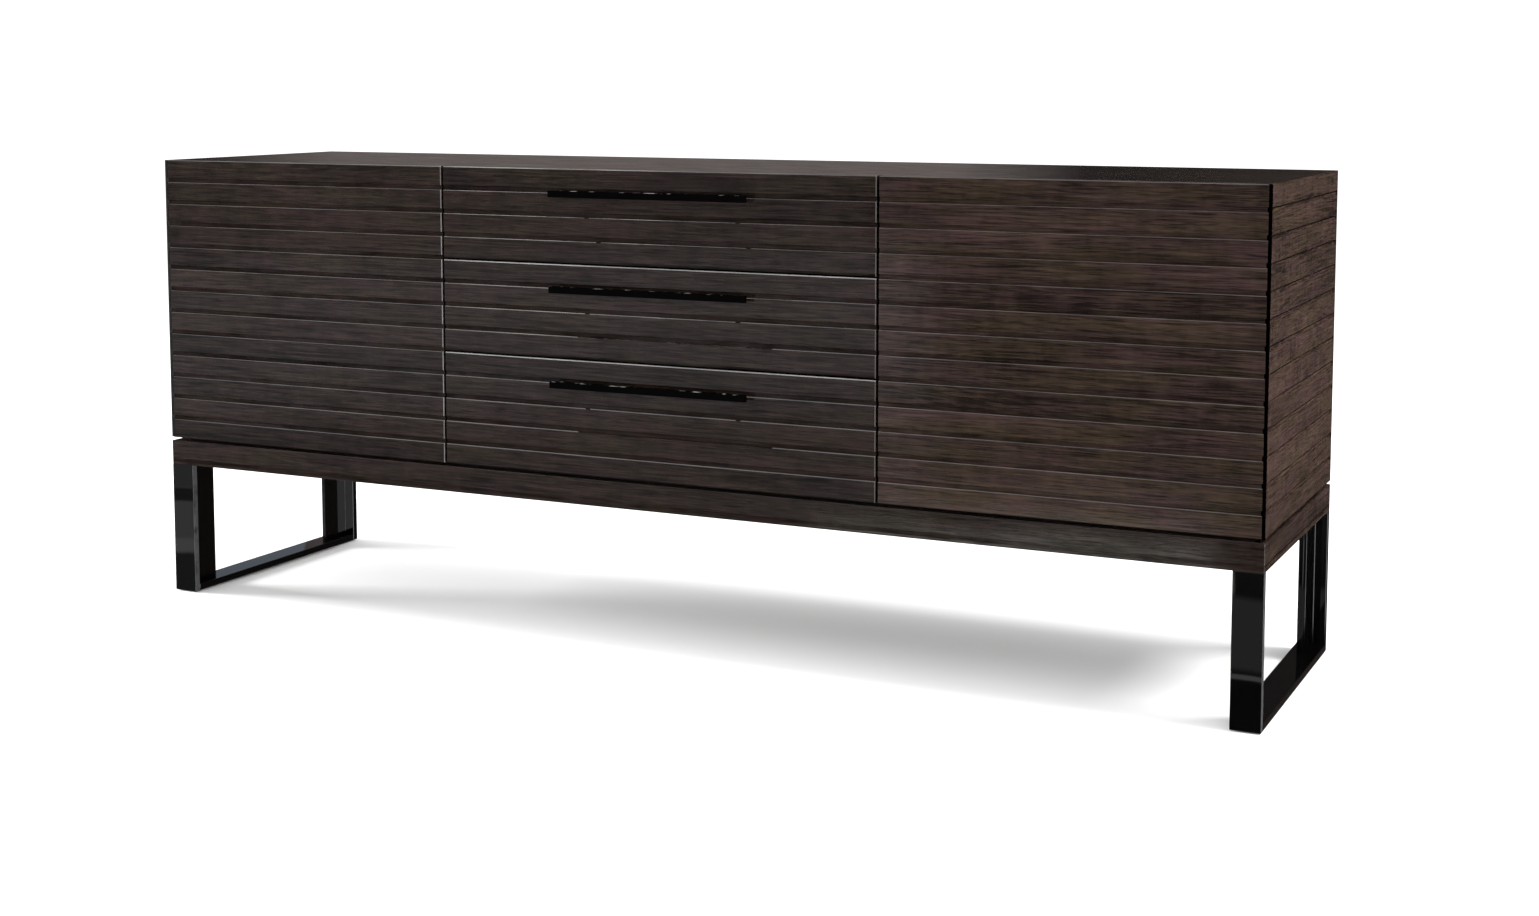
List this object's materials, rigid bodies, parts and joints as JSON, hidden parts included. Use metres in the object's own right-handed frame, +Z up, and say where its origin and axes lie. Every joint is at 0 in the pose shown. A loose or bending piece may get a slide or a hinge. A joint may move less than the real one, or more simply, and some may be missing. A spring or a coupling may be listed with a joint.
{
  "type": "sideboard buffet",
  "caption": "Long low sideboard with side doors, a middle stack of drawers, horizontal planked fronts and flat-bar sled legs.",
  "frame": {"origin": "on the floor, at the middle of the overall width and of the overall depth with the handles", "axes": "+X to the right seen from the front, -Y the front, +Z up"},
  "size_m": [2, 0.508, 0.795],
  "materials": {
    "lacquered_oak": "high gloss lacquer over dark brown open-grain veneer",
    "interior_board": "satin dark brown veneer",
    "drawer_board": "satin grey-brown board",
    "plain_wood": "unfinished beech",
    "black_metal": "gloss black",
    "zinc_steel": "zinc plated",
    "nickel_steel": "nickel plated",
    "grey_plastic": "moulded"
  },
  "bodies": {
    "carcass": {"top_panel": "lacquered_oak", "bottom_panel": "interior_board", "back_panel": "interior_board", "left_side_panel": "lacquered_oak", "left_partition": "interior_board", "left_shelf": "interior_board", "right_side_panel": "lacquered_oak", "right_partition": "interior_board", "right_shelf": "interior_board", "shelf_pins": "zinc_steel", "plinth_front_rail": "lacquered_oak", "plinth_rear_rail": "lacquered_oak", "plinth_left_rail": "lacquered_oak", "plinth_right_rail": "lacquered_oak", "plinth_cross_rails": "interior_board", "corner_blocks": "plain_wood", "left_front_leg": "black_metal", "left_rear_leg": "black_metal", "left_floor_rail": "black_metal", "right_front_leg": "black_metal", "right_rear_leg": "black_metal", "right_floor_rail": "black_metal", "mounting_bars": "black_metal", "leg_bolts": "zinc_steel", "floor_glides": "grey_plastic", "hinge_arms": "nickel_steel", "latch_bodies": "grey_plastic", "upper_cabinet_slides": "zinc_steel", "middle_cabinet_slides": "zinc_steel", "lower_cabinet_slides": "zinc_steel"},
    "left_door": {"left_door_panel": "lacquered_oak", "left_hinge_cups": "nickel_steel"},
    "left_plunger": {"left_latch_plunger": "grey_plastic"},
    "right_door": {"right_door_panel": "lacquered_oak", "right_hinge_cups": "nickel_steel"},
    "right_plunger": {"right_latch_plunger": "grey_plastic"},
    "upper_drawer": {"upper_drawer_front": "lacquered_oak", "upper_handle": "black_metal", "upper_drawer_left_side": "drawer_board", "upper_drawer_right_side": "drawer_board", "upper_drawer_back": "drawer_board", "upper_drawer_base": "drawer_board", "upper_drawer_slides": "zinc_steel"},
    "upper_middle_slide": {"upper_middle_slides": "zinc_steel"},
    "middle_drawer": {"middle_drawer_front": "lacquered_oak", "middle_handle": "black_metal", "middle_drawer_left_side": "drawer_board", "middle_drawer_right_side": "drawer_board", "middle_drawer_back": "drawer_board", "middle_drawer_base": "drawer_board", "middle_drawer_slides": "zinc_steel"},
    "middle_middle_slide": {"middle_middle_slides": "zinc_steel"},
    "lower_drawer": {"lower_drawer_front": "lacquered_oak", "lower_handle": "black_metal", "lower_drawer_left_side": "drawer_board", "lower_drawer_right_side": "drawer_board", "lower_drawer_back": "drawer_board", "lower_drawer_base": "drawer_board", "lower_drawer_slides": "zinc_steel"},
    "lower_middle_slide": {"lower_middle_slides": "zinc_steel"}
  },
  "joints": [
    {"name": "left_door_hinge", "type": "hinge", "parent": "carcass", "child": "left_door", "pos_m": [-0.9953, -0.236, 0.541], "axis": [0, 0, -1], "range_deg": [0, 105]},
    {"name": "right_door_hinge", "type": "hinge", "parent": "carcass", "child": "right_door", "pos_m": [0.9953, -0.236, 0.541], "axis": [0, 0, 1], "range_deg": [0, 105]},
    {"name": "upper_drawer_slide", "type": "slide", "parent": "carcass", "child": "upper_drawer", "axis": [0, -1, 0], "range_m": [0, 0.36]},
    {"name": "upper_middle_slide", "type": "slide", "parent": "carcass", "child": "upper_middle_slide", "axis": [0, -1, 0], "range_m": [0, 0.18]},
    {"name": "middle_drawer_slide", "type": "slide", "parent": "carcass", "child": "middle_drawer", "axis": [0, -1, 0], "range_m": [0, 0.36]},
    {"name": "middle_middle_slide", "type": "slide", "parent": "carcass", "child": "middle_middle_slide", "axis": [0, -1, 0], "range_m": [0, 0.18]},
    {"name": "lower_drawer_slide", "type": "slide", "parent": "carcass", "child": "lower_drawer", "axis": [0, -1, 0], "range_m": [0, 0.36]},
    {"name": "lower_middle_slide", "type": "slide", "parent": "carcass", "child": "lower_middle_slide", "axis": [0, -1, 0], "range_m": [0, 0.18]},
    {"name": "left_latch_press", "type": "slide", "parent": "carcass", "child": "left_plunger", "axis": [0, 1, 0], "range_m": [0, 0.004], "stiffness_N_per_m": 400, "springref_m": -0.001},
    {"name": "right_latch_press", "type": "slide", "parent": "carcass", "child": "right_plunger", "axis": [0, 1, 0], "range_m": [0, 0.004], "stiffness_N_per_m": 400, "springref_m": -0.001}
  ],
  "couplings": [
    {"joint": "upper_middle_slide", "follows": "upper_drawer_slide", "ratio": 0.5},
    {"joint": "middle_middle_slide", "follows": "middle_drawer_slide", "ratio": 0.5},
    {"joint": "lower_middle_slide", "follows": "lower_drawer_slide", "ratio": 0.5}
  ]
}
